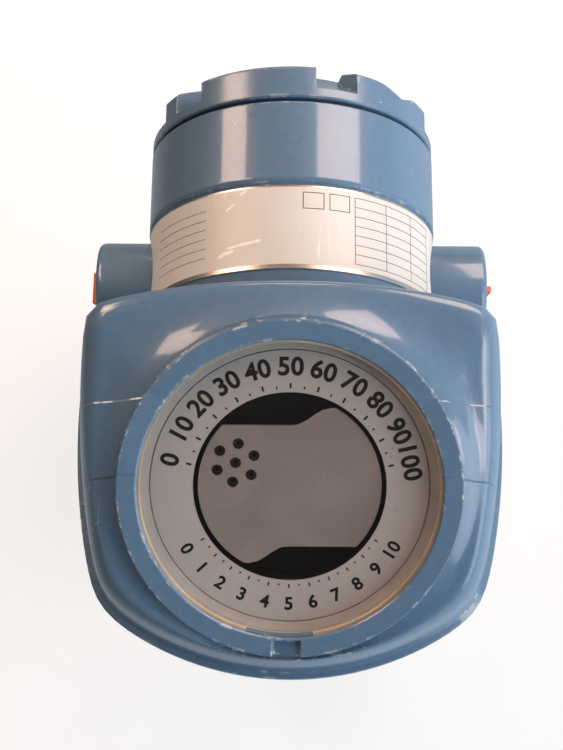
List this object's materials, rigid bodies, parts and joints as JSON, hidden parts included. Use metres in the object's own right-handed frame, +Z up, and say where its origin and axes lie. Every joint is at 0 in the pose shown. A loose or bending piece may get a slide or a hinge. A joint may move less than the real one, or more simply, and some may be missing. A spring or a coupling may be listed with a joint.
{
  "type": "radar level transmitter",
  "caption": "Two-compartment cast transmitter head with a leaning round window, a castellated rear cover, side conduit entries and a captive coupling nut below.",
  "frame": {"origin": "centre of the coupling nut's mouth, on the neck's axis", "axes": "+Z up along the neck, -Y towards the hood's nose and the window, +Y along the terminal barrel to its cover, X along the conduit entries"},
  "size_m": [0.137, 0.186, 0.1641],
  "materials": {
    "housing_paint": "glossy enamel with chipped edges",
    "cover_paint": "glossy enamel with chipped edges",
    "plate_metal": "satin printed metal",
    "snap_ring_metal": "chromated spring steel",
    "glass": "clear toughened glass",
    "dial_print": "silver-grey print",
    "black_plastic": "matt black",
    "contact_metal": "satin plated sheet",
    "board_green": "solder mask",
    "steel": "bright stainless steel",
    "gilt_brass": "plated brass",
    "rubber": "black nitrile",
    "orange_plastic": "moulded polyethylene"
  },
  "bodies": {
    "head": {"housing": "housing_paint", "cover_lock_screw": "steel", "name_plate_band": "plate_metal", "snap_ring": "snap_ring_metal", "window_glass": "glass", "glass_gasket": "rubber", "dial_ring": "dial_print", "window_bowl": "black_plastic", "contact_plate": "contact_metal", "pin_socket": "black_plastic", "circuit_board": "board_green", "board_pillars": "gilt_brass", "board_screws": "steel", "radar_module": "steel", "coax_line": "gilt_brass", "coax_connector": "gilt_brass", "feedthrough": "black_plastic", "terminal_block": "black_plastic", "terminal_clamps": "gilt_brass", "terminal_screws": "steel", "block_screws": "steel", "inner_ground_screw": "steel", "outer_ground_screw": "steel", "outer_ground_clamp": "steel", "nut_retaining_ring": "steel", "neck_o_ring": "rubber"},
    "cover_seal": {"cover_o_ring": "rubber"},
    "cover": {"terminal_cover": "cover_paint"},
    "plug_left": {"conduit_plug_left": "orange_plastic"},
    "plug_right": {"conduit_plug_right": "orange_plastic"},
    "nut": {"coupling_nut": "steel"}
  },
  "joints": [
    {"name": "cover_travel", "type": "slide", "parent": "head", "child": "cover_seal", "axis": [0, 1, 0], "range_m": [0, 0.0155]},
    {"name": "cover_unscrew", "type": "hinge", "parent": "cover_seal", "child": "cover", "pos_m": [0, 0.09, 0.104], "axis": [0, 1, 0], "range_deg": [0, 2700]},
    {"name": "plug_left_pull", "type": "slide", "parent": "head", "child": "plug_left", "axis": [-1, 0, 0], "range_m": [0, 0.018]},
    {"name": "plug_right_pull", "type": "slide", "parent": "head", "child": "plug_right", "axis": [1, 0, 0], "range_m": [0, 0.018]},
    {"name": "nut_turn", "type": "hinge", "parent": "head", "child": "nut", "pos_m": [0, 0, 0.012], "axis": [0, 0, 1], "continuous": true}
  ],
  "couplings": [
    {"joint": "cover_travel", "follows": "cover_unscrew", "m_per_rad": 0.00031831}
  ]
}
